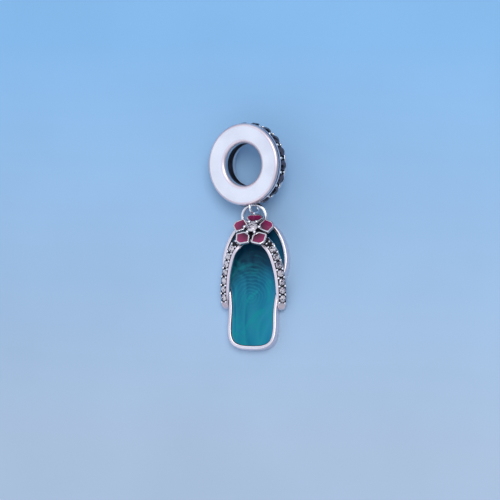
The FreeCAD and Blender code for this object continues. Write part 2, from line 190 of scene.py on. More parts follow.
class MeshWork:
    """One piece on the bench, in millimetres and in the axes that the charm was modelled in."""

    origin = Vector((0.0, 0.0, 0.0))
    merge_distance = 0.0005
    bead_detail = 3
    sharp_deg = 35.0

    def __init__(self, name: str) -> None:
        """Start an empty piece with a name."""
        self.name = name
        self.bm = bmesh.new()

    def first_face(self) -> BMFace:
        """Return the first face."""
        return next(iter(self.bm.faces))

    def plate(self, points: Sequence[Vector]) -> BMFace:
        """Lay one flat face with the given corners."""
        return self.bm.faces.new([self.bm.verts.new(point) for point in points])

    def next_loop(self, loop: Loop, points: Sequence[Vector], tone: Tone) -> Loop:
        """Extrude a loop onto new points.

        Args:
            loop: The loop to extrude.
            points: The places of the new vertices, in the loop's order.
            tone: The material index of the new faces, or what gives it for the face after each vertex.

        Returns:
            The new loop.
        """
        made = bmesh.ops.extrude_edge_only(self.bm, edges=loop.edges)["geom"]
        new = {item for item in made if isinstance(item, BMVert)}
        number = {vert: index for index, vert in enumerate(loop.verts)}
        verts = []
        for vert, point in zip(loop.verts, points):
            mate = next(edge.other_vert(vert) for edge in vert.link_edges if edge.other_vert(vert) in new)
            mate.co = point
            verts.append(mate)
        for face in {face for vert in new for face in vert.link_faces}:
            low, high = sorted(number[vert] for vert in face.verts if vert in number)
            side = low if high - low == 1 else high
            face.material_index = tone(side) if callable(tone) else tone
        return Loop(verts, [item for item in made if isinstance(item, BMEdge)])

    def loft(self, rows: Iterable[tuple[Sequence[Vector], Tone]], end_tone: int = POLISHED) -> None:
        """Draw a skin over rows of points and close both ends with a flat face.

        Args:
            rows: The points of each row, and the tone of the faces that lead up to it.
            end_tone: The material index of the last face.
        """
        rows = iter(rows)
        first = next(rows)[0]
        made = bmesh.ops.create_circle(self.bm, cap_ends=True, radius=1.0, segments=len(first))["verts"]
        for vert, point in zip(made, first):
            vert.co = point
        loop = Loop(list(made), list(made[0].link_faces[0].edges))
        for points, tone in rows:
            loop = self.next_loop(loop, points, tone)
        self.bm.faces.new(loop.verts).material_index = end_tone

    def spin(self, profile: Sequence[Vector], steps: int) -> None:
        """Turn a closed profile once round the Z axis."""
        verts = [self.bm.verts.new(point) for point in profile]
        edges = [self.bm.edges.new(pair) for pair in zip(verts, verts[1:] + verts[:1])]
        bmesh.ops.spin(
            self.bm, geom=edges + verts, cent=(0.0, 0.0, 0.0), axis=(0.0, 0.0, 1.0), angle=2.0 * math.pi,
            steps=steps, use_merge=True,
        )
        self.merge()

    def wire_ring(self, radius: float, wire: float, sides: int, steps: int) -> None:
        """Draw a closed ring of round wire round the Z axis."""
        self.spin(upright((radius + point.x, point.y) for point in circle(wire, sides)), steps)

    def lift(self, verts: Iterable[BMVert], height: float) -> None:
        """Move vertices up or down."""
        bmesh.ops.translate(self.bm, verts=list(verts), vec=(0.0, 0.0, height))

    def wall(self, edges: Iterable[BMEdge], height: float) -> list[BMEdge]:
        """Draw a wall up or down from a few edges and return its other border."""
        made = bmesh.ops.extrude_edge_only(self.bm, edges=list(edges))["geom"]
        self.lift([item for item in made if isinstance(item, BMVert)], height)
        return [item for item in made if isinstance(item, BMEdge)]

    def raise_face(self, face: BMFace, height: float) -> BMFace:
        """Extrude a face, move its copy up or down and return it."""
        made = bmesh.ops.extrude_face_region(self.bm, geom=[face])
        moved = next(item for item in made["geom"] if isinstance(item, BMFace))
        self.lift(moved.verts, height)
        if face.is_valid:
            bmesh.ops.delete(self.bm, geom=[face], context="FACES_ONLY")
        return moved

    def inset(self, face: BMFace, thickness: float, height: float = 0.0) -> None:
        """Inset a face in place and lift what is left of it."""
        bmesh.ops.inset_region(
            self.bm, faces=[face], thickness=thickness, depth=0.0, use_even_offset=True, use_boundary=True
        )
        self.lift(face.verts, height)

    def bevel(self, parts: Iterable, offset: float, segments: int, affect: str = "EDGES") -> None:
        """Round edges off, or the corners of a flat plate.

        Args:
            parts: The edges or the corners.
            offset: How far from them the rounding starts.
            segments: The number of its steps.
            affect: EDGES or VERTICES.
        """
        bmesh.ops.bevel(
            self.bm, geom=list(parts), offset=offset, offset_type="OFFSET", segments=segments, profile=0.5,
            affect=affect, clamp_overlap=True, material=-1,
        )

    def bead(self, centre: Vector, radius: float) -> None:
        """Add one round bead."""
        bmesh.ops.create_icosphere(
            self.bm, subdivisions=self.bead_detail, radius=radius, matrix=Matrix.Translation(centre)
        )

    def post(self, foot: Vector, head: Vector, radius: float, sides: int = 16) -> None:
        """Add a round post from foot to head."""
        run = head - foot
        turn = run.to_track_quat("Z", "Y").to_matrix().to_4x4()
        bmesh.ops.create_cone(
            self.bm, cap_ends=True, segments=sides, radius1=radius, radius2=radius, depth=run.length,
            matrix=Matrix.Translation((foot + head) / 2.0) @ turn,
        )

    def merge(self) -> None:
        """Merge the vertices that lie on one another."""
        bmesh.ops.remove_doubles(self.bm, verts=self.bm.verts, dist=self.merge_distance)

    def paint(self, tone: Callable[[Vector], int]) -> None:
        """Give every face the material index that belongs to its middle."""
        for face in self.bm.faces:
            face.material_index = tone(face.calc_center_median())

    def move(self, matrix: Matrix) -> None:
        """Move the whole piece."""
        bmesh.ops.transform(self.bm, matrix=matrix, verts=self.bm.verts)

    def finish(self, materials: Sequence[Material], slot: Slot, nodes: Sequence[str]) -> bpy.types.Object:
        """Turn the bench piece into an object of the charm.

        Args:
            materials: Its finishes, in the order of the material indices.
            slot: The record's slot; not used.
            nodes: The solids that it stands for.

        Returns:
            The finished object.
        """
        self.merge()
        bmesh.ops.recalc_face_normals(self.bm, faces=self.bm.faces)
        self.move(Matrix.Translation(self.origin) @ Matrix.Scale(MM, 4))
        mesh = bpy.data.meshes.new(self.name)
        self.bm.to_mesh(mesh)
        self.bm.free()
        mesh.shade_smooth()
        mesh.set_sharp_from_angle(angle=math.radians(self.sharp_deg))
        for material in materials:
            mesh.materials.append(material)
        piece = add_object(self.name, mesh)
        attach(piece, "root")
        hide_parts(*nodes)
        LOG.info("%s: %d faces", self.name, len(mesh.polygons))
        return piece


# Finishes


class Nodes:
    """Short ways to lay the nodes of one tree."""

    def __init__(self, tree: bpy.types.NodeTree, coordinates: str) -> None:
        """Start with one kind of texture coordinates."""
        self.tree = tree
        self.place = self.add("TexCoord").outputs[coordinates]

    def feed(self, target: Socket, value: Input) -> None:
        """Join a socket to an input, or set the input to a constant."""
        if isinstance(value, Socket):
            self.tree.links.new(value, target)
        else:
            target.default_value = value

    def add(self, kind: str, **inputs: Input) -> bpy.types.Node:
        """Lay one node and feed its inputs, whose names have _ for a space."""
        node = self.tree.nodes.new("ShaderNode" + kind)
        for name, value in inputs.items():
            self.feed(node.inputs[name.replace("_", " ")], value)
        return node

    def axis(self, name: str) -> Socket:
        """Return the X, Y or Z of the coordinates."""
        return self.add("SeparateXYZ", Vector=self.place).outputs[name]

    def mapped(self, location: Vector, scale: Sequence[float], degrees: float = 0.0) -> Socket:
        """Return the coordinates, moved, turned about Z and scaled."""
        turn = (0.0, 0.0, math.radians(degrees))
        node = self.add("Mapping", Vector=self.place, Location=location, Rotation=turn, Scale=scale)
        return node.outputs["Vector"]

    def noise(self, place: Socket, scale: float, detail: float, distortion: float = 0.0) -> Socket:
        """Return a cloudy value from 0 to 1."""
        node = self.add("TexNoise", Vector=place, Scale=scale, Detail=detail, Distortion=distortion)
        return node.outputs["Fac"]

    def cells(self, scale: float, output: str) -> Socket:
        """Return the colour or the distance of small irregular cells."""
        return self.add("TexVoronoi", Vector=self.place, Scale=scale).outputs[output]

    def ramp(self, value: Socket, stops: Sequence[tuple[float, tuple]]) -> Socket:
        """Return the colour for a value, from a row of stops."""
        node = self.add("ValToRGB", Fac=value)
        bar = node.color_ramp
        for element, (position, colour) in zip(bar.elements, (stops[0], stops[-1])):
            element.position, element.color = position, (*colour, 1.0)
        for position, colour in stops[1:-1]:
            bar.elements.new(position).color = (*colour, 1.0)
        return node.outputs["Color"]

    def span(self, value: Socket, low: float, high: float, start: float = 0.0, end: float = 1.0) -> Socket:
        """Return a value stretched from start to end onto low to high."""
        node = self.add("MapRange", Value=value, From_Min=start, From_Max=end, To_Min=low, To_Max=high)
        return node.outputs["Result"]

    def reckon(self, operation: str, *values: Input) -> Socket:
        """Return the result of an operation on numbers."""
        node = self.add("Math")
        node.operation = operation
        for target, value in zip(node.inputs, values):
            self.feed(target, value)
        return node.outputs["Value"]

    def length(self, place: Socket) -> Socket:
        """Return the distance of a place from the origin."""
        node = self.add("VectorMath")
        node.operation = "LENGTH"
        self.feed(node.inputs[0], place)
        return node.outputs["Value"]

    def scaled(self, colour: Socket, factor: Socket) -> Socket:
        """Return a colour times a factor."""
        node = self.add("VectorMath")
        node.operation = "SCALE"
        self.feed(node.inputs[0], colour)
        self.feed(node.inputs["Scale"], factor)
        return node.outputs["Vector"]

    def mix(self, share: Socket, first: Input, second: Input) -> Socket:
        """Return two colours mixed by a share."""
        node = self.add("Mix")
        node.data_type = "RGBA"
        for index, value in ((0, share), (6, first), (7, second)):
            self.feed(node.inputs[index], value)
        return node.outputs[2]

    def bump(self, height: Socket, strength: float, distance: float) -> Socket:
        """Return normals with fine relief."""
        return self.add("Bump", Height=height, Strength=strength, Distance=distance).outputs["Normal"]


class Finish:
    """Base of the finishes: each is one material with one shader."""

    name: str

    def shader(self, nodes: Nodes) -> dict[str, Input]:
        """Return what feeds the shader's inputs."""
        raise NotImplementedError

    def material(self) -> Material:
        """Build the material."""
        material = bpy.data.materials.new(self.name)
        material.use_nodes = True
        nodes = Nodes(material.node_tree, "Object")
        shader = material.node_tree.nodes["Principled BSDF"]
        for name, value in self.shader(nodes).items():
            nodes.feed(shader.inputs[name], value)
        return material


@dataclass(frozen=True)
class PolishedSilver(Finish):
    """Silver polished on a wheel, with hair-fine scratches and a faint haze."""

    name: str = "polished_silver"
    bright: tuple = (0.93, 0.93, 0.95)
    dull: tuple = (0.80, 0.80, 0.84)
    roughness: tuple = (0.10, 0.22)
    haze_scale: float = 260.0
    scratch_scale: float = 2600.0
    scratch_stretch: tuple = (1.0, 9.0, 1.0)
    scratch_deg: float = 24.0
    scratch_depth: float = 0.00001

    def shader(self, nodes: Nodes) -> dict[str, Input]:
        """Return what feeds the shader's inputs."""
        haze = nodes.noise(nodes.place, self.haze_scale, 3.0)
        along = nodes.mapped(Vector(), self.scratch_stretch, self.scratch_deg)
        scratches = nodes.noise(along, self.scratch_scale, 2.0)
        return {
            "Base Color": nodes.ramp(haze, [(0.3, self.dull), (0.62, self.bright)]),
            "Metallic": 1.0,
            "Roughness": nodes.span(scratches, *self.roughness),
            "Normal": nodes.bump(scratches, 0.12, self.scratch_depth),
        }


@dataclass(frozen=True)
class BlackenedSilverAndShade(Finish):
    """Dark silver with a little bare metal showing through: blackening in the stone channels, also used in
    the bore's groove, and painted shade on the ring's line, the tray's inner walls, the enamel's edge, the
    lower petal walls, the hub and the strap under the flower.
    """

    name: str = "blackened_silver_and_painted_shade"
    dark: tuple = (0.006, 0.005, 0.012)
    worn: tuple = (0.045, 0.042, 0.06)
    wear_scale: float = 1500.0
    wear_depth: float = 0.00003

    def shader(self, nodes: Nodes) -> dict[str, Input]:
        """Return what feeds the shader's inputs."""
        wear = nodes.noise(nodes.place, self.wear_scale, 4.0)
        return {
            "Base Color": nodes.ramp(wear, [(0.45, self.dark), (0.75, self.worn)]),
            "Metallic": 0.4,
            "Roughness": 0.45,
            "Specular IOR Level": 0.2,
            "Normal": nodes.bump(wear, 0.3, self.wear_depth),
        }


@dataclass(frozen=True)
class MarbledTeal(Finish):
    """Pearly teal enamel with soft swirls, greener near the heel and darker near the toe, where the dark is
    painted shade under the flower; a patch near the heel is a painted glow.
    """

    middle: Vector
    name: str = "marbled_teal_enamel"
    heel: tuple = (0.002, 0.185, 0.290)
    sole: tuple = (0.002, 0.115, 0.215)
    # The toe colour is painted shade under the flower.
    toe: tuple = (0.001, 0.026, 0.062)
    side: tuple = (0.012, 0.170, 0.340)
    pearl: tuple = (0.030, 0.330, 0.410)
    glow: tuple = (0.004, 0.260, 0.290)
    half_length: float = 0.0055
    cloud_scale: float = 170.0
    swirl_scale: float = 85.0
    swirl_bend: float = 2.2
    patch_scale: float = 240.0
    patch_bend: float = 3.0
    arc_scale: float = 0.80
    arc_bend: float = 5.5
    arc_heart: tuple = (-0.0003, -0.0016, 0.0)
    arc_reach: float = 0.0032

    def body(self, nodes: Nodes, along: Socket) -> Socket:
        """Return the plain colour along the sole, with uneven borders."""
        cloud = nodes.noise(self.swirl_place(nodes), self.cloud_scale, 2.0, 0.6)
        uneven = nodes.reckon("MULTIPLY_ADD", cloud, 0.6, along)
        return nodes.ramp(uneven, [(0.3, self.heel), (0.60, self.sole), (0.86, self.toe)])

    def swirl_place(self, nodes: Nodes) -> Socket:
        """Return the place in which the swirls are drawn."""
        return nodes.mapped(-self.middle, (1.0, 0.8, 1.0), 12.0)

    def streaks(self, nodes: Nodes) -> Socket:
        """Return three soft streaks that follow the swirls."""
        drift = nodes.noise(self.swirl_place(nodes), self.swirl_scale, 1.5, self.swirl_bend)
        stops = (
            (0.30, 0.0), (0.40, 0.34), (0.43, 0.04), (0.50, 0.42), (0.53, 0.08), (0.60, 0.36), (0.66, 0.0),
        )
        return nodes.ramp(drift, [(place, (grey, grey, grey)) for place, grey in stops])

    def arcs(self, nodes: Nodes) -> Socket:
        """Return faint arcs round a point near the middle of the sole."""
        heart = self.middle + Vector(self.arc_heart)
        waves = nodes.add(
            "TexWave", Vector=nodes.mapped(-heart / MM, Vector((1.0, 1.0, 1.0)) / MM),
            Scale=self.arc_scale, Distortion=self.arc_bend, Detail=2.0, Detail_Scale=1.1,
        )
        waves.wave_type = "RINGS"
        waves.rings_direction = "Z"
        reach = nodes.length(nodes.mapped(-self.middle, (1.0, 1.0, 0.0)))
        fading = nodes.ramp(nodes.span(reach, 0.0, 1.0, 0.0, self.arc_reach), [
            (0.0, (0.9, 0.9, 0.9)), (0.35, (1.0, 1.0, 1.0)), (1.0, (0.0, 0.0, 0.0)),
        ])
        return nodes.reckon("MULTIPLY", nodes.span(waves.outputs["Fac"], 0.0, 0.22, 0.35, 0.9), fading)

    def shader(self, nodes: Nodes) -> dict[str, Input]:
        """Return what feeds the shader's inputs."""
        pearl, side, glow = ((*shade, 1.0) for shade in (self.pearl, self.side, self.glow))
        middle, reach = self.middle, self.half_length
        along = nodes.span(nodes.axis("Y"), 0.0, 0.8, middle.y - reach, middle.y + reach)
        heelwards = nodes.span(along, 1.0, 0.25, 0.35, 0.75)
        body = self.body(nodes, along)
        across = nodes.span(nodes.axis("X"), 0.0, 0.75, middle.x + 0.001, middle.x + 0.0027)
        streaks = nodes.reckon("MULTIPLY", self.streaks(nodes), heelwards)
        marbled = nodes.mix(streaks, nodes.mix(across, body, side), pearl)
        place = nodes.mapped(-middle, (1.3, 0.9, 1.0), 20.0)
        patch = nodes.noise(place, self.patch_scale, 3.0, self.patch_bend)
        # A painted pool of light near the heel.
        lit = nodes.reckon("MULTIPLY", nodes.span(patch, 0.0, 0.65, 0.47, 0.66), heelwards)
        glowing = nodes.mix(lit, nodes.mix(heelwards, body, marbled), glow)
        return {
            "Base Color": nodes.mix(self.arcs(nodes), glowing, pearl),
            "Roughness": 0.3,
            "Specular IOR Level": 0.08,
            "Coat Weight": 0.08,
            "Coat Roughness": 0.06,
            "Normal": nodes.bump(nodes.noise(nodes.place, 300.0, 2.0), 0.25, 0.00004),
        }


@dataclass(frozen=True)
class PinkEnamel(Finish):
    """Glassy pink enamel, darker near the middle of the flower as painted shade round the stone."""

    middle: Vector
    name: str = "pink_enamel"
    deep: tuple = (0.070, 0.001, 0.030)
    clear: tuple = (0.30, 0.020, 0.105)
    near: float = 0.0011
    far: float = 0.0024
    cloud_scale: float = 1500.0

    def shader(self, nodes: Nodes) -> dict[str, Input]:
        """Return what feeds the shader's inputs."""
        reach = nodes.length(nodes.mapped(-self.middle, (1.0, 1.0, 1.0)))
        cloud = nodes.noise(nodes.place, self.cloud_scale, 3.0)
        # Painted shade: the pink darkens towards the middle of the flower.
        depth = nodes.reckon("MULTIPLY_ADD", cloud, 0.35, nodes.span(reach, -0.15, 0.85, self.near, self.far))
        return {
            "Base Color": nodes.ramp(depth, [(0.1, self.deep), (0.8, self.clear)]),
            "Roughness": 0.25,
            "Specular IOR Level": 0.3,
            "Coat Weight": 0.3,
            "Coat Roughness": 0.04,
            "Normal": nodes.bump(cloud, 0.15, 0.00002),
        }


@dataclass(frozen=True)
class ClearStone(Finish):
    """Cut clear stone with small painted glints and painted dark reflections in its colour, in random
    patches.
    """

    name: str = "clear_stone"
    # Painted glint, tinted reflection and dark reflection colours.
    light: tuple = (1.0, 0.97, 1.0)
    tint: tuple = (0.80, 0.62, 0.78)
    dark: tuple = (0.07, 0.05, 0.11)
    patch_scale: float = 6500.0
    transmission: float = 0.38
    bending: float = 2.1

    def shader(self, nodes: Nodes) -> dict[str, Input]:
        """Return what feeds the shader's inputs."""
        glint_pick = nodes.length(nodes.cells(self.patch_scale, "Color"))
        return {
            "Base Color": nodes.ramp(nodes.span(glint_pick, 0.0, 1.0, 0.4, 1.4), [
                (0.36, self.dark), (0.46, self.tint), (0.58, self.light), (1.0, self.light),
            ]),
            "Roughness": 0.02,
            "IOR": self.bending,
            "Transmission Weight": self.transmission,
            "Normal": nodes.bump(nodes.cells(self.patch_scale * 0.7, "Distance"), 0.6, 0.00005),
        }


@dataclass(frozen=True)
class PaleFloor(Finish):
    """Matt pale blue paper, with a hardly visible mottle and a slow change of tone along Y."""

    name: str = "pale_floor"
    far: tuple = (0.27, 0.535, 0.83)
    near: tuple = (0.46, 0.59, 0.73)
    shade: float = 0.93
    reach: float = 0.024
    mottle_scale: float = 45.0

    def shader(self, nodes: Nodes) -> dict[str, Input]:
        """Return what feeds the shader's inputs."""
        along = nodes.span(nodes.axis("Y"), 0.0, 1.0, -self.reach, self.reach)
        mottle = nodes.span(nodes.noise(nodes.place, self.mottle_scale, 4.0), self.shade, 1.0, 0.3, 0.7)
        return {
            "Base Color": nodes.scaled(nodes.ramp(along, [(0.0, self.near), (1.0, self.far)]), mottle),
            "Roughness": 0.9,
            "Specular IOR Level": 0.1,
        }


# Rougher silver for roundings and edges, tinted pink and a little darker as a painted reflection.
SATIN_REFLECTION_SILVER = PolishedSilver("satin_silver_painted_reflection", (0.90, 0.81, 0.85), (0.76, 0.66, 0.72), (0.36, 0.50))
# The rim stones are clear, but their colour is painted near black and opaque, as the dark reflection of the
# blackened channel they sit in.
DARK_PAINTED_STONE = ClearStone(
    "stone_painted_dark", (0.07, 0.07, 0.11), (0.02, 0.02, 0.035), (0.004, 0.004, 0.01), 3000.0, 0.0, 1.35
)


@dataclass
class Palette:
    """The finishes of the charm, made once."""

    silver: Material
    satin_reflection: Material
    black_and_shade: Material
    teal: Material
    pink: Material
    stone: Material
    rim_stone: Material

    @property
    def silver_tones(self) -> list[Material]:
        """Return the silver in its tones: polished, dark (blackening and painted shade) and satin (rougher,
        with a painted pink reflection).
        """
        return [self.silver, self.black_and_shade, self.satin_reflection]

    @classmethod
    def make(cls, sole_middle: Vector, flower_middle: Vector) -> "Palette":
        """Build every finish.

        Args:
            sole_middle: Middle of the sole in metres.
            flower_middle: Middle of the flower in metres.

        Returns:
            The palette.
        """
        finishes = (
            PolishedSilver(), SATIN_REFLECTION_SILVER, BlackenedSilverAndShade(), MarbledTeal(sole_middle),
            PinkEnamel(flower_middle), ClearStone(), DARK_PAINTED_STONE,
        )
        return cls(*(finish.material() for finish in finishes))


# Sub-assemblies, in millimetres; a profile row is an inset, a height and a tone


@dataclass
class SpacerRing:
    """Leaning silver ring with a stone channel round its rim and a wire eye at the bottom."""

    front_radius: float = 4.69
    rear_radius: float = 4.5
    width: float = 2.6
    bore_radius: float = 2.42
    lip_radius: float = 0.41
    front_edge: float = 0.35
    rear_edge: float = 0.3
    line_start: float = 0.36
    line_end: float = 0.53
    line_depth: float = 0.05
    line_slope: float = 0.03
    channel_start: float = 0.85
    channel_end: float = 2.05
    channel_floor: float = 4.3
    chamfer: float = 0.05
    groove_width: float = 1.0
    groove_depth: float = 0.12
    lean_deg: float = 19.8
    lean_toward_deg: float = 206.4
    front_place: tuple[float, float] = (-1.3, 20.86)
    steps: int = 180
    stones: int = 18
    first_stone_deg: float = -64.0
    bead_radius: float = 0.19
    bead_circle: float = 4.58
    bead_offset: float = 0.38
    post_radius: float = 0.12
    sink: float = 0.05
    eye_deg: float = -84.0
    eye_front: float = 0.55
    eye_rear: float = 2.25
    eye_reach: float = 5.5
    eye_wire: float = 0.15
    eye_corner: float = 0.35
    eye_rows: int = 40

    def placement(self) -> Matrix:
        """Return the matrix that lays the ring on its lowest rear edge."""
        lean, toward = math.radians(self.lean_deg), math.radians(self.lean_toward_deg)
        front = Vector((math.sin(lean) * math.cos(toward), math.sin(lean) * math.sin(toward), math.cos(lean)))
        right = Vector((0.0, 1.0, 0.0)).cross(front).normalized()
        height = (self.width - self.rear_edge) * math.cos(lean)
        height += (self.rear_radius - self.rear_edge) * math.sin(lean) + self.rear_edge
        return axes_matrix(right, front.cross(right), front, Vector((*self.front_place, height)))

    @staticmethod
    def arc(reach: float, height: float, radius: float, start: float, steps: int) -> Flat:
        """Return points on a quarter circle that runs clockwise from a start in degrees."""
        points = [polar(radius, start + -90.0 * i / steps) for i in range(steps + 1)]
        return [(reach + point.x, height + point.y) for point in points]

    def half_section(self) -> Flat:
        """Return the half section, from the front lip round the rim and back through the bore."""
        front, rear, bore, chamfer = self.front_radius, self.rear_radius, self.bore_radius, self.chamfer
        lip, end, edge = bore + self.lip_radius, -self.width, self.front_edge
        in_line, slope = front - self.line_depth, self.line_slope
        middle, half, groove = end / 2.0, self.groove_width / 2.0, bore + self.groove_depth
        return [
            *self.arc(lip, -self.lip_radius, self.lip_radius, 180.0, 8),
            *self.arc(front - edge, -edge, edge, 90.0, 8),
            (front, -self.line_start), (in_line, -self.line_start - slope),
            (in_line, -self.line_end + slope), (front, -self.line_end),
            (front, -self.channel_start + chamfer), (front - chamfer, -self.channel_start),
            (self.channel_floor, -self.channel_start), (self.channel_floor, -self.channel_end),
            (rear - chamfer, -self.channel_end), (rear, -self.channel_end - chamfer),
            *self.arc(rear - self.rear_edge, end + self.rear_edge, self.rear_edge, 0.0, 6),
            *self.arc(lip, end + self.lip_radius, self.lip_radius, -90.0, 8),
            (bore, middle - half - chamfer), (groove, middle - half),
            (groove, middle + half), (bore, middle + half + chamfer),
        ]

    def tone(self, point: Vector) -> int:
        """Return the tone of the ring at a place: the channel, groove and line dark, the roundings satin; the
        dark line is painted shade and the pink of the roundings is a painted reflection.
        """
        depth, reach = -point.z, point.xy.length
        # Each recess is taken a little wider than it is, with the small faces at its borders.
        in_channel = self.channel_start - 0.01 < depth < self.channel_end + 0.01
        in_channel = in_channel and self.channel_floor - 0.3 < reach < self.rear_radius - 0.02
        in_groove = abs(point.z + self.width / 2.0) < self.groove_width / 2.0 + 0.03
        in_groove = in_groove and reach < self.bore_radius + 0.3
        # The dark line round the rim is painted shade beside the front rounding.
        in_line = self.line_start < depth < self.line_end and reach > self.channel_floor
        if in_channel or in_groove or in_line:
            return DARK
        outer = depth < self.channel_start and reach > self.front_radius - self.front_edge
        inner = depth < self.lip_radius and reach < self.bore_radius + self.lip_radius
        return SATIN_REFLECTION if outer or inner or depth > self.channel_end + 0.06 else POLISHED

    def build_body(self, palette: Palette) -> None:
        """Build the ring itself."""
        work = MeshWork("spacer_ring_body")
        work.spin(upright(self.half_section()), self.steps)
        work.paint(self.tone)
        work.move(self.placement())
        work.finish(palette.silver_tones, Slot.SILVER, ["bail_ring"])

    def build_beads(self, palette: Palette) -> None:
        """Build the pairs of prong beads between neighbouring stones; there is no stone at the eye."""
        work = MeshWork("spacer_ring_prongs")
        middle = -(self.channel_start + self.channel_end) / 2.0
        foot = self.channel_floor - self.sink
        for index in range(self.stones - 2):
            between = self.first_stone_deg + 360.0 / self.stones * index + 180.0 / self.stones
            for height in (middle - self.bead_offset, middle + self.bead_offset):
                centre = polar(self.bead_circle, between, height)
                work.post(polar(foot, between, height), centre, self.post_radius, 12)
                work.bead(centre, self.bead_radius)
        work.move(self.placement())
        work.finish([palette.silver], Slot.SILVER, ["bail_ring"])

    def half_eye(self, height: float, turn: float) -> list[Vector]:
        """Return the route of the eye's wire from a foot at a height round one corner."""
        bend = self.eye_corner * (1.0 - math.cos(math.radians(45.0)))
        corner = self.eye_reach - self.eye_corner
        return upright([
            (self.channel_floor - self.sink, height), (corner - 0.3, height), (corner, height),
            (self.eye_reach - bend, height + turn * bend), (self.eye_reach, height + turn * self.eye_corner),
        ])

    def build_eye(self, palette: Palette) -> None:
        """Build the wire staple that bridges the channel."""
        work = MeshWork("spacer_ring_eye")
        route = SmoothLine(self.half_eye(-self.eye_front, -1.0) + self.half_eye(-self.eye_rear, 1.0)[::-1])
        section, side = circle(self.eye_wire, 16), Vector((0.0, 1.0, 0.0))
        rows = []
        for i in range(self.eye_rows):
            place, along = route.at_distance(route.length * i / (self.eye_rows - 1))
            station = axes_matrix(side, along.cross(side), along, place)
            rows.append(([station @ point for point in section], POLISHED))
        work.loft(rows)
        work.move(self.placement() @ turned(self.eye_deg, "Z"))
        work.finish([palette.silver], Slot.SILVER, ["bail_ring"])


@dataclass
class JumpRing:
    """Closed ring of round wire."""

    centre: Triple = (-0.15, 15.19, 1.67)
    radius: float = 1.375
    wire: float = 0.225
    lean_deg: float = 7.5

    def build(self, palette: Palette) -> None:
        """Build the ring."""
        work = MeshWork("jump_ring_wire")
        work.wire_ring(self.radius, self.wire, 20, 72)
        work.move(Matrix.Translation(Vector(self.centre)) @ turned(self.lean_deg, "X"))
        work.finish([palette.silver], Slot.SILVER, ["jump_ring"])


@dataclass
class Sole:
    """Flip-flop sole: a silver tray with a raised rim, filled with enamel."""

    height: float = 1.2
    length: float = 15.1
    toe_half_width: float = 3.81
    toe_centre: float = 9.97
    draft: float = 0.07
    chamfer: float = 0.05
    rim: float = 0.38
    floor: float = 0.55
    enamel_gap: float = 0.02
    enamel_below_rim: float = 0.12
    heel_side: Flat = field(default_factory=lambda: [
        (1.35, 0.1), (2.35, 0.62), (2.79, 1.7), (2.82, 3.7), (2.92, 5.7), (3.38, 7.9),
    ])
    loop_centre: Triple = (0.0, 13.9, 1.5)
    loop_radius: float = 0.55
    loop_wire: float = 0.17
    boss_radius: float = 0.95
    segments: int = 160

    def __post_init__(self) -> None:
        """Fit the outer outline of the rim."""
        reach = self.length - self.toe_centre
        toe = []
        for angle in map(math.radians, (0.0, 22.5, 45.0, 67.5)):
            toe.append((self.toe_half_width * math.cos(angle), self.toe_centre + reach * math.sin(angle)))
        right = self.heel_side + toe
        left = [(-x, y) for x, y in reversed(right)]
        points = [(0.0, 0.0), *right, (0.0, self.length), *left]
        self.outline = SmoothLine([(x, y, 0.0) for x, y in points], closed=True)

    def edge(self, inset: float, height: float) -> list[Vector]:
        """Return the outline's points, moved inwards and up."""
        points = []
        for index in range(self.segments):
            place, along = self.outline.at_distance(self.outline.length * index / self.segments)
            points.append(place + Vector((-along.y, along.x, 0.0)) * inset + Vector((0.0, 0.0, height)))
        return points

    def build_tray(self, palette: Palette) -> None:
        """Build the tray with a soft upper rim and a flat back; the inner walls are dark as painted shade and
        the rim's roundings carry a painted pink reflection.
        """
        work = MeshWork("sole_tray")
        top, rim = self.height, self.rim
        # Satin rows: rougher silver with a painted pink reflection; dark rows: painted shade on the inner
        # wall, down to the crevice by the enamel.
        profile = (
            (self.chamfer - self.draft, 0.0, POLISHED), (-self.draft, self.chamfer, SATIN_REFLECTION),
            (-0.012, top - 0.16, SATIN_REFLECTION), (0.008, top - 0.08, SATIN_REFLECTION), (0.045, top - 0.028, SATIN_REFLECTION),
            (0.10, top - 0.004, SATIN_REFLECTION), (0.16, top, SATIN_REFLECTION), (rim - 0.10, top, POLISHED),
            (rim - 0.05, top - 0.008, SATIN_REFLECTION), (rim - 0.015, top - 0.03, SATIN_REFLECTION), (rim, top - 0.07, DARK),
            (rim, self.floor, DARK),
        )
        work.loft(((self.edge(inset, height), tone) for inset, height, tone in profile), DARK)
        work.finish(palette.silver_tones, Slot.SILVER, ["pendant_frame"])

    def build_enamel(self, palette: Palette) -> None:
        """Build the enamel, with a meniscus where it meets the rim and a dark line of painted shade along
        that edge.
        """
        work = MeshWork("sole_enamel_fill")
        top = self.height - self.enamel_below_rim
        # The dark row is painted shade where the enamel meets the rim, in the dark silver finish.
        profile = (
            (0.0, self.floor + self.enamel_gap, POLISHED), (0.0, top, POLISHED), (0.035, top - 0.008, DARK),
            (0.08, top - 0.022, POLISHED), (0.16, top - 0.036, POLISHED), (0.35, top - 0.045, POLISHED),
        )
        start = self.rim + self.enamel_gap
        work.loft((self.edge(start + inwards, height), tone) for inwards, height, tone in profile)
        work.finish([palette.teal, palette.black_and_shade], Slot.TEAL, ["sole_enamel"])

    def build_loop(self, palette: Palette) -> None:
        """Build the loop that carries the jump ring, on its round base."""
        work = MeshWork("pendant_loop")
        work.wire_ring(self.loop_radius, self.loop_wire, 16, 40)
        work.move(Matrix.Translation(Vector(self.loop_centre)) @ turned(90.0, "Y"))
        foot = Vector((*self.loop_centre[:2], self.floor / 2.0))
        work.post(foot, foot + Vector((0.0, 0.0, self.height - self.floor / 2.0)), self.boss_radius, 40)
        work.finish([palette.silver], Slot.SILVER, ["pendant_frame"])


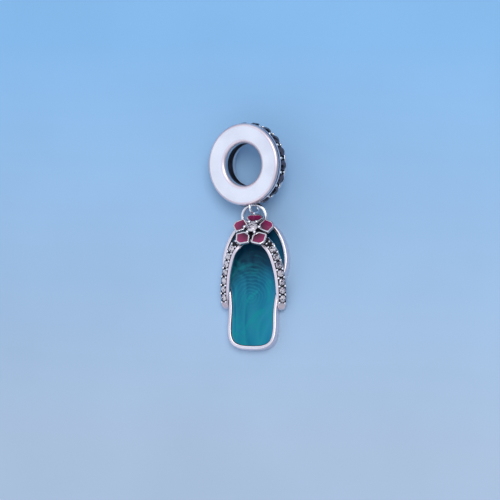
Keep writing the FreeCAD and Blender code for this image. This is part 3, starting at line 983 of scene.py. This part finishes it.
@dataclass
class StrapArm:
    """One arm of the strap: a polished band with a blackened channel for its stones, dark with painted shade
    near the flower.
    """

    side: float
    name: str
    line_points: list[Triple] = field(default_factory=lambda: [
        (0.0, 13.1, 2.4), (1.25, 12.55, 2.62), (2.44, 11.29, 2.62), (3.04, 9.76, 2.2), (3.3, 8.6, 1.88),
        (3.48, 6.76, 1.42), (3.46, 5.68, 1.15), (3.25, 4.5, 0.85),
    ])
    width: float = 0.95
    thickness: float = 0.75
    hub_thickness: float = 0.42
    lean_deg: float = 30.0
    lip: float = 0.35
    lip_loss: float = 0.85
    lip_drop_share: float = 0.7
    lip_fade: tuple[float, float] = (8.2, 9.4)
    edge_round: float = 0.14
    channel_width: float = 0.66
    channel_depth: float = 0.16
    tip: float = 0.7
    tip_end: float = 0.15
    tip_least: float = 0.12
    tip_drop: float = 0.3
    stones: int = 7
    first_stone: float = 3.12
    pitch: float = 0.97
    bead_radius: float = 0.15
    bead_offset: float = 0.33
    bead_lift: float = 0.026
    inner_bead_share: float = 0.6
    dark_until: float = 2.78
    dark_border_from: float = 5.6
    rows: int = 64

    def __post_init__(self) -> None:
        """Fit the middle line of this side."""
        self.line = SmoothLine([(self.side * x, y, z) for x, y, z in self.line_points])

    def lean(self, distance: float) -> float:
        """Return how far the face leans outwards at a distance, in radians."""
        return math.radians(self.lean_deg) * min(1.0, distance / self.first_stone)

    def axes(self, distance: float) -> tuple[Vector, Vector, Vector]:
        """Return the place and the directions inwards and up at a distance."""
        place, along = self.line.at_distance(distance)
        lean = self.lean(distance)
        up = Vector((self.side * math.sin(lean), 0.0, math.cos(lean)))
        up = (up - along * up.dot(along)).normalized()
        return place, along.cross(up).normalized() * self.side, up

    def in_set_part(self, distance: float) -> bool:
        """Tell whether the channel for the stones runs through a distance."""
        first = self.first_stone - self.pitch / 2.0
        return first < distance < self.first_stone + self.pitch * (self.stones - 0.5)

    def section(self, distance: float) -> Flat:
        """Return the corners of the section at a distance, as inwards and up.

        Args:
            distance: Distance along the middle line.

        Returns:
            The corners from the channel's inner wall round the lip to its outer wall.
        """
        depth = self.channel_depth if self.in_set_part(distance) else 0.0
        share = min(1.0, distance / self.first_stone)
        thick = self.hub_thickness + (self.thickness - self.hub_thickness) * share
        half, channel, edge_round = self.width / 2.0, self.channel_width / 2.0, self.edge_round
        start, end = self.lip_fade
        lip = self.lip * (1.0 - self.lip_loss * min(1.0, max(0.0, (distance - start) / (end - start))))
        sine, cosine = math.sin(self.lean(distance)), math.cos(self.lean(distance))
        edge = Vector((half + lip * cosine, -lip * sine))
        drop, inwards = Vector((-sine, -cosine)), Vector((cosine, -sine))
        # The offsets of a few hundredths round the corners of the section.
        lip_points = (
            edge - inwards * 0.09, edge - inwards * 0.035 + drop * 0.02, edge + drop * 0.07,
            edge + drop * (self.lip_drop_share * thick),
        )
        return [
            (channel - 0.02, -depth), (channel, -depth * 0.2), (channel + 0.03, 0.0), (half, -0.005),
            *map(tuple, lip_points), (half - edge_round, -thick), (edge_round - half, -thick),
            (0.04 - half, 0.05 - thick), (-half, edge_round - thick), (-half, -0.12), (0.01 - half, -0.04),
            (0.05 - half, -0.005), (-channel - 0.03, 0.0), (-channel, -depth * 0.2), (0.02 - channel, -depth),
        ]

    def tip_share(self, distance: float) -> float:
        """Return the scale of the section, which rounds the tip off."""
        left = max(0.0, self.line.length - distance)
        if left >= self.tip:
            return 1.0
        bow = math.sqrt(max(0.0, 1.0 - ((self.tip - left) / self.tip) ** 2))
        return max(self.tip_least, bow * (1.0 - self.tip_end) + self.tip_end)

    def row(self, distance: float) -> list[Vector]:
        """Return the corners of the section in their place at a distance."""
        place, inwards, up = self.axes(distance)
        share = self.tip_share(distance)
        place = place + up * (-self.tip_drop * (1.0 - share))
        return [place + inwards * x * share + up * z * share for x, z in self.section(distance)]

    def tones(self, distance: float) -> Callable[[int], int]:
        """Return what tells the tone of each side of the section at a distance."""
        channel, borders, lip = {0, 16, 17}, {1, 2, 14, 15}, {3, 4}
        if self.in_set_part(distance):
            dark = channel | {2} | ({14, 15} if distance > self.dark_border_from else set())
            satin_reflection = lip
        # Before the stones, under the flower, the channel and its borders are dark as painted shade; the lip
        # carries a painted pink reflection.
        elif distance < self.dark_until:
            dark, satin_reflection = channel | borders, lip
        else:
            dark, satin_reflection = set(), channel | borders | lip
        return lambda side: DARK if side in dark else SATIN_REFLECTION if side in satin_reflection else POLISHED

    def build_band(self, palette: Palette) -> None:
        """Build the band by drawing its section along the line."""
        work = MeshWork("strap_arm_" + self.name)
        distances = [self.line.length * i / (self.rows - 1) for i in range(self.rows)]
        work.loft((self.row(distance), self.tones(distance)) for distance in distances)
        work.finish(palette.silver_tones, Slot.SILVER, ["pendant_frame"])

    def build_beads(self, palette: Palette) -> None:
        """Build the pairs of beads between neighbouring stones, and a pair nearer the flower."""
        work = MeshWork("strap_beads_" + self.name)
        pairs = [(self.pitch * (i + 0.5), self.bead_offset, self.bead_lift) for i in range(-1, self.stones)]
        pairs.append((-self.pitch, self.bead_offset * self.inner_bead_share, 0.0))
        for distance, offset, lift in pairs:
            place, inwards, up = self.axes(self.first_stone + distance)
            for side in (-1.0, 1.0):
                work.bead(place + inwards * (side * offset) + up * lift, self.bead_radius)
        work.finish([palette.silver], Slot.SILVER, ["pendant_frame"])


@dataclass
class Flower:
    """Five petal cups of pink enamel round a clear stone in six prongs."""

    centre: Triple = (0.05, 13.66, 3.15)
    lean_deg: float = 30.0
    petals: int = 5
    slant_deg: float = 4.0
    side: tuple = ((0.84, 0.4), (1.65, 1.05))
    end: tuple = (2.45, 0.32)
    top_end: tuple = (2.15, 0.62)
    corner: float = 0.15
    depth: float = 0.42
    wall: float = 0.17
    well: float = 0.22
    rim_round: float = 0.06
    well_round: float = 0.035
    bright_wall: float = 0.28
    enamel_gap: float = 0.02
    pad_below_rim: float = 0.07
    pad_crown: tuple = ((0.07, 0.02), (0.1, 0.01))
    hub_radius: float = 0.92
    hub_top: float = -0.3
    hub_bottom: float = -1.0
    prongs: int = 6
    prong_circle: float = 0.86
    prong_bead: float = 0.2
    prong_post: float = 0.1
    stone_girdle: float = 0.2

    def placement(self) -> Matrix:
        """Return the matrix of the whole flower."""
        return Matrix.Translation(Vector(self.centre)) @ turned(-self.lean_deg, "X")

    def petal_placement(self, index: int) -> Matrix:
        """Return the matrix of one petal."""
        turn = turned(90.0 + 360.0 / self.petals * index, "Z")
        return self.placement() @ turn @ turned(self.slant_deg, "Y")

    def petal_plate(self, work: MeshWork, index: int, shrink: float) -> BMFace:
        """Lay the petal's flat plate with round corners.

        Args:
            work: The bench piece.
            index: The petal's number; petal 0 points to the toe and is the shortest.
            shrink: How far every side moves inwards.

        Returns:
            The plate's face.
        """
        right = [*self.side, self.top_end if index == 0 else self.end]
        corners = [(x, -y) for x, y in right] + right[::-1]
        face = work.plate([Vector((x, y, 0.0)) for x, y in corners])
        face.normal_update()
        work.bevel(face.verts, self.corner, 5, "VERTICES")
        face = work.first_face()
        if shrink:
            made = bmesh.ops.inset_region(work.bm, faces=[face], thickness=shrink, use_even_offset=True)
            bmesh.ops.delete(work.bm, geom=made["faces"], context="FACES")
            face = work.first_face()
        return face

    def build_cups(self, palette: Palette) -> None:
        """Build the five cups, the lower part of their walls dark as painted shade."""
        for index in range(self.petals):
            work = MeshWork("petal_cup_%d" % (index + 1))
            top = self.petal_plate(work, index, 0.0)
            work.wall(top.edges, -self.depth)
            rim = list(top.edges)
            work.inset(top, self.wall)
            inner = list(top.edges)
            floor = work.raise_face(top, -self.well)
            work.bevel(rim, self.rim_round, 3)
            work.bevel([edge for edge in inner if edge.is_valid], self.well_round, 2)
            bmesh.ops.contextual_create(work.bm, geom=[edge for edge in work.bm.edges if edge.is_boundary])
            bmesh.ops.bisect_plane(
                work.bm, geom=[*work.bm.verts, *work.bm.edges, *work.bm.faces],
                plane_co=(0.0, 0.0, -self.bright_wall), plane_no=(0.0, 0.0, 1.0),
            )
            # Painted shade: the walls below bright_wall get the dark finish, for the shade under and between
            # the petals.
            work.paint(lambda point: DARK if point.z < -self.bright_wall else POLISHED)
            floor.material_index = DARK
            work.move(self.petal_placement(index))
            work.finish(palette.silver_tones[:2], Slot.SILVER, ["pendant_frame"])

    def build_pads(self, palette: Palette) -> None:
        """Build the five enamel pads, slightly crowned."""
        for index in range(self.petals):
            work = MeshWork("petal_pad_%d" % (index + 1))
            face = self.petal_plate(work, index, self.wall + self.enamel_gap)
            work.lift(work.bm.verts, self.enamel_gap - self.well)
            bmesh.ops.reverse_faces(work.bm, faces=[face])
            border = work.wall(work.bm.edges, self.well - self.enamel_gap - self.pad_below_rim)
            lid = bmesh.ops.contextual_create(work.bm, geom=border)["faces"][0]
            for thickness, height in self.pad_crown:
                work.inset(lid, thickness, height)
            work.move(self.petal_placement(index))
            work.finish([palette.pink], Slot.PINK, ["petal_enamel_%d" % (index + 1)])

    def build_hub(self, palette: Palette) -> None:
        """Build the dark hub under the petals, painted shade between and under them."""
        work = MeshWork("flower_hub")
        work.post(Vector((0.0, 0.0, self.hub_bottom)), Vector((0.0, 0.0, self.hub_top)), self.hub_radius, 48)
        work.move(self.placement())
        work.finish([palette.black_and_shade], Slot.SILVER, ["pendant_frame"])

    def build_prongs(self, palette: Palette) -> None:
        """Build the six prongs with round heads."""
        work = MeshWork("flower_prongs")
        for index in range(self.prongs):
            turn = 360.0 / self.prongs * index
            head = polar(self.prong_circle, turn, self.stone_girdle)
            work.post(polar(self.prong_circle, turn, self.hub_top - 0.1), head, self.prong_post)
            work.bead(head, self.prong_bead)
        work.move(self.placement())
        work.finish([palette.silver], Slot.SILVER, ["pendant_frame"])


# Studio


@dataclass
class Studio:
    """Camera at the photograph's angle, pale floor and soft light."""

    right_deg: float = 14.36
    heel_deg: float = 7.35
    roll_deg: float = 2.54
    pixels_per_mm: float = 8.75
    frame_pixels: float = 500.0
    heel_pixel: tuple[float, float] = (253.3, 350.2)
    target_height: float = 1.5
    lens: float = 150.0
    sensor: float = 36.0
    floor_size: float = 3.0
    sky_strength: float = 0.95
    lamp_place: Triple = (0.13, 0.12, 0.42)
    lamp_size: float = 0.26
    lamp_power: float = 0.85
    lamp_colour: Triple = (1.0, 0.98, 0.96)

    def camera_axes(self) -> tuple[Vector, Vector, Vector]:
        """Return the camera's directions to the right, up and back."""
        back = Vector((math.sin(math.radians(self.right_deg)), -math.sin(math.radians(self.heel_deg)), 0.0))
        back.z = math.sqrt(1.0 - back.length_squared)
        right = Vector((0.0, 1.0, 0.0)).cross(back).normalized()
        right = Matrix.Rotation(math.radians(self.roll_deg), 3, back) @ right
        return right, back.cross(right), back

    def place_camera(self, origin: Vector) -> None:
        """Place the camera so that the heel falls on its pixel."""
        right, up, back = self.camera_axes()
        middle = self.frame_pixels / 2.0
        target = right * ((middle - self.heel_pixel[0]) / self.pixels_per_mm)
        target += up * ((self.heel_pixel[1] - middle) / self.pixels_per_mm)
        target += back * ((self.target_height - target.z) / back.z)
        distance = self.frame_pixels / self.pixels_per_mm / self.sensor * self.lens
        data = bpy.data.cameras.new("studio_camera")
        data.lens, data.sensor_width, data.sensor_fit = self.lens, self.sensor, "HORIZONTAL"
        data.clip_start, data.clip_end = 0.01, 20.0
        camera = add_object("studio_camera", data)
        camera.matrix_world = axes_matrix(right, up, back, (target + back * distance) * MM + origin)
        bpy.context.scene.camera = camera

    def lay_floor(self) -> None:
        """Lay the floor under the charm."""
        bm = bmesh.new()
        bmesh.ops.create_grid(bm, x_segments=1, y_segments=1, size=self.floor_size / 2.0)
        mesh = bpy.data.meshes.new("floor")
        bm.to_mesh(mesh)
        bm.free()
        mesh.materials.append(PaleFloor().material())
        floor = add_object("floor", mesh)

    def paint_sky(self) -> None:
        """Set a sky that is light overhead, dark at the horizon and brighter to the left and to the heel."""
        world = bpy.data.worlds.new("studio_sky")
        bpy.context.scene.world = world
        world.use_nodes = True
        nodes = Nodes(world.node_tree, "Generated")
        sky = nodes.ramp(nodes.axis("Z"), [
            (0.0, (0.10, 0.09, 0.13)), (0.10, (0.08, 0.07, 0.11)), (0.20, (0.60, 0.55, 0.60)),
            (0.35, (0.92, 0.90, 0.95)), (0.62, (0.84, 0.92, 1.10)), (1.0, (0.74, 0.82, 1.0)),
        ])
        left = nodes.span(nodes.axis("X"), 1.0, 0.30, -0.45, 0.85)
        heel = nodes.span(nodes.axis("Y"), 1.35, 1.0, -0.9, -0.35)
        background = world.node_tree.nodes["Background"]
        nodes.feed(background.inputs["Color"], nodes.scaled(sky, nodes.reckon("MULTIPLY", left, heel)))
        nodes.feed(background.inputs["Strength"], self.sky_strength)

    def hang_lamp(self) -> None:
        """Hang one square soft lamp that faces the charm."""
        data = bpy.data.lights.new("soft_box", "AREA")
        data.size, data.energy, data.color = self.lamp_size, self.lamp_power, self.lamp_colour
        place = Vector(self.lamp_place)
        turn = place.to_track_quat("Z", "Y").to_matrix().to_4x4()
        add_object("soft_box", data).matrix_world = Matrix.Translation(place) @ turn

    def build(self, origin: Vector) -> None:
        """Build the whole studio and show the colours as a plain photograph does."""
        self.place_camera(origin)
        self.lay_floor()
        self.paint_sky()
        self.hang_lamp()
        bpy.context.scene.view_settings.view_transform = "Standard"


def dress_stones(palette: Palette) -> None:
    """Give every cut stone of the frame its finish."""
    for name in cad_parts:
        if "stone" in name:
            piece = bpy.data.objects[name]
            piece.data.materials.clear()
            piece.data.materials.append(palette.rim_stone if name.startswith("rim") else palette.stone)
            LOG.info("%s dressed", name)


def modelling_origin(jump: JumpRing) -> Vector:
    """Return where the heel of the sole lies in the frame, from the jump ring's box."""
    low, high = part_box("jump_ring")
    middle = (Vector(low) + Vector(high)) / 2.0
    heel = middle - Vector(jump.centre) * MM
    return Vector((heel.x, heel.y, 0.0))


def main() -> None:
    """Build the charm piece by piece and light it."""
    logging.basicConfig(level=logging.INFO, format="%(message)s")
    jump, ring, sole, flower = JumpRing(), SpacerRing(), Sole(), Flower()
    left, right = StrapArm(-1.0, "left"), StrapArm(1.0, "right")
    origin = MeshWork.origin = modelling_origin(jump)
    palette = Palette.make(origin + Vector((0.0, 7.5, 1.0)) * MM, origin + Vector(flower.centre) * MM)
    for build in (
        ring.build_body, ring.build_beads, ring.build_eye, jump.build,
        sole.build_tray, sole.build_enamel, sole.build_loop,
        left.build_band, left.build_beads, right.build_band, right.build_beads,
        flower.build_cups, flower.build_pads, flower.build_hub, flower.build_prongs,
    ):
        build(palette)
    dress_stones(palette)
    Studio().build(origin)


if __name__ == "__main__":
    main()
